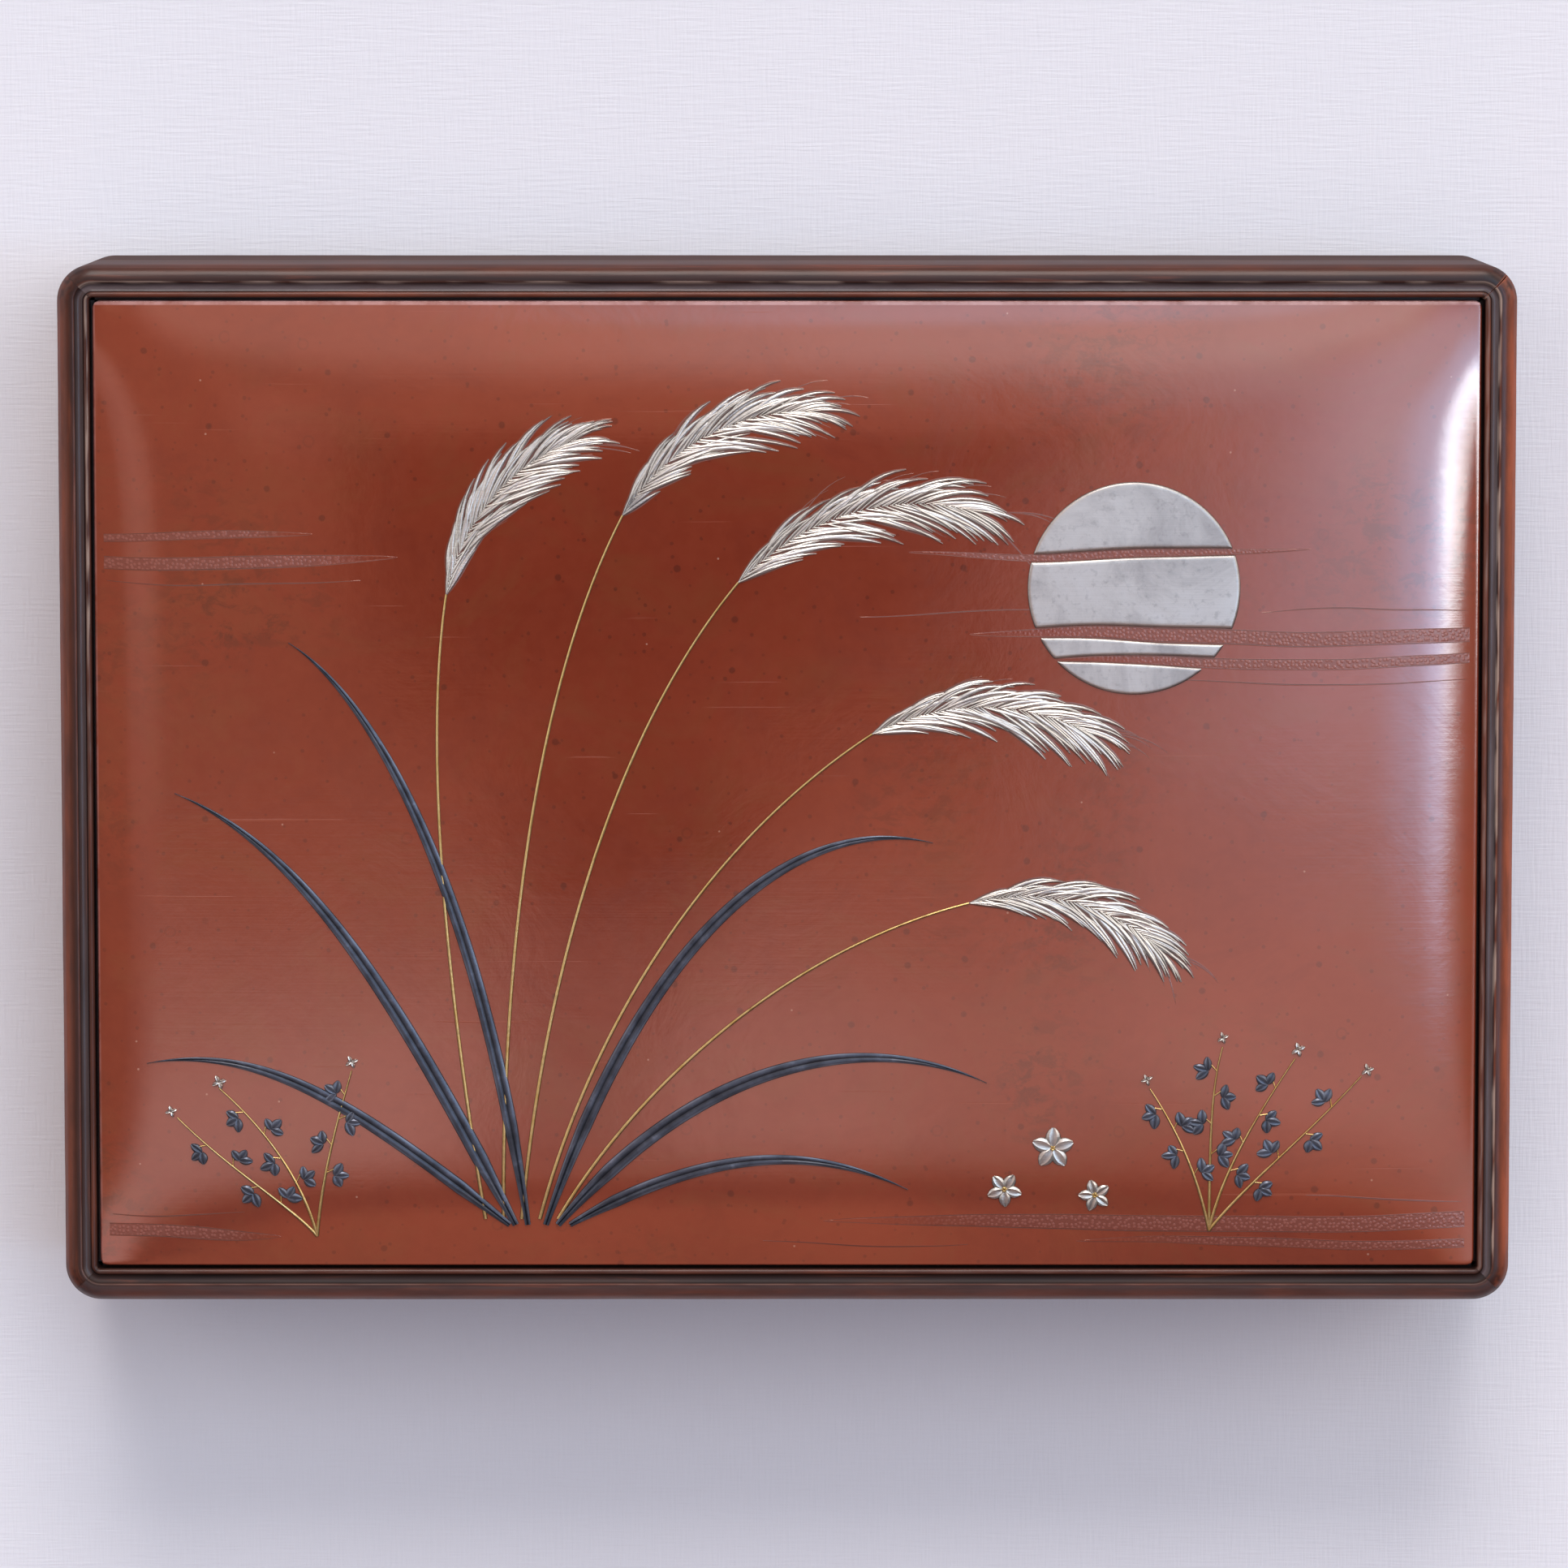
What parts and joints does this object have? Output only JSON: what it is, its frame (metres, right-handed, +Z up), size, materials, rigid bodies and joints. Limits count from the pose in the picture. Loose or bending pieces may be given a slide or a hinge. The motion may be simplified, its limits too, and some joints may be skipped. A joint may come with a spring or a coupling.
{
  "type": "suzuri ink box",
  "caption": "Low rectangular writing box with a lift-off domed metal-plate lid in a moulded wood frame, over a fitted tray for stone, dropper, ink and brushes.",
  "frame": {"origin": "on the floor, at the middle of the box's plan", "axes": "+X along the long side towards the picture's right, +Y towards the picture's upper edge, +Z up out of the lid"},
  "size_m": [0.24, 0.172, 0.054],
  "materials": {
    "frame_lacquer": "dark red-brown lacquered wood, worn along the ridge",
    "inner_wood": "thin brown lacquer over straight-grained wood",
    "foot_lacquer": "dark brown lacquered wood",
    "pale_wood": "bare wood",
    "bamboo": "polished bamboo",
    "pin_brass": "dull brass",
    "copper_patina": "red-brown patinated copper, satin, fine brushing",
    "silver": "silver with grey tarnish in the cut lines",
    "dark_alloy": "blue-black patinated alloy, satin",
    "gold_alloy": "gold-coloured alloy",
    "insert_lacquer": "near-black lacquer, satin",
    "ink_stone": "fine-grained slate, matt",
    "dropper_metal": "brown patinated copper alloy",
    "ink": "pressed soot ink, satin black",
    "hair": "brush hair, pale brown"
  },
  "bodies": {
    "base": {"base_wall_front": "frame_lacquer", "base_wall_right": "frame_lacquer", "base_wall_back": "frame_lacquer", "base_wall_left": "frame_lacquer", "liner_front": "inner_wood", "liner_right": "inner_wood", "liner_back": "inner_wood", "liner_left": "inner_wood", "bottom_board": "inner_wood", "bottom_pegs": "bamboo", "base_mitre_splines": "pale_wood", "foot_front_left": "foot_lacquer", "foot_front_right": "foot_lacquer", "foot_back_left": "foot_lacquer", "foot_back_right": "foot_lacquer"},
    "lid": {"lid_rail_front": "frame_lacquer", "lid_rail_right": "frame_lacquer", "lid_rail_back": "frame_lacquer", "lid_rail_left": "frame_lacquer", "lid_mitre_splines": "pale_wood", "lid_backing_board": "inner_wood", "lid_backing_pins": "pin_brass", "copper_panel": "copper_patina", "inlay_moon": "silver", "inlay_plumes": "silver", "inlay_flowers": "silver", "inlay_leaves": "dark_alloy", "inlay_clover": "dark_alloy", "inlay_stems": "gold_alloy"},
    "insert": {"insert_board": "insert_lacquer", "brush_rest_left": "insert_lacquer", "brush_rest_right": "insert_lacquer"},
    "stone": {"inkstone": "ink_stone"},
    "dropper": {"dropper_cup": "dropper_metal", "dropper_cover": "dropper_metal"},
    "ink": {"ink_stick": "ink"},
    "brush_large": {"brush_large_handle": "bamboo", "brush_large_hair": "hair"},
    "brush_large_cap": {"brush_large_cap": "bamboo"},
    "brush_small": {"brush_small_handle": "bamboo", "brush_small_hair": "hair"},
    "brush_small_cap": {"brush_small_cap": "bamboo"}
  },
  "joints": [
    {"name": "lid_lift", "type": "slide", "parent": "base", "child": "lid", "axis": [0, 0, 1], "range_m": [0, 0.1]},
    {"name": "insert_lift", "type": "slide", "parent": "base", "child": "insert", "axis": [0, 0, 1], "range_m": [0, 0.006]},
    {"name": "stone_lift", "type": "slide", "parent": "insert", "child": "stone", "axis": [0, 0, 1], "range_m": [0, 0.008]},
    {"name": "dropper_lift", "type": "slide", "parent": "insert", "child": "dropper", "axis": [0, 0, 1], "range_m": [0, 0.007]},
    {"name": "ink_lift", "type": "slide", "parent": "insert", "child": "ink", "axis": [0, 0, 1], "range_m": [0, 0.012]},
    {"name": "brush_large_lift", "type": "slide", "parent": "insert", "child": "brush_large", "axis": [0, 0, 1], "range_m": [0, 0.012]},
    {"name": "brush_small_lift", "type": "slide", "parent": "insert", "child": "brush_small", "axis": [0, 0, 1], "range_m": [0, 0.012]},
    {"name": "brush_large_cap_slide", "type": "slide", "parent": "brush_large", "child": "brush_large_cap", "axis": [-1, 0, 0], "range_m": [0, 0.04]},
    {"name": "brush_small_cap_slide", "type": "slide", "parent": "brush_small", "child": "brush_small_cap", "axis": [-1, 0, 0], "range_m": [0, 0.036]}
  ]
}
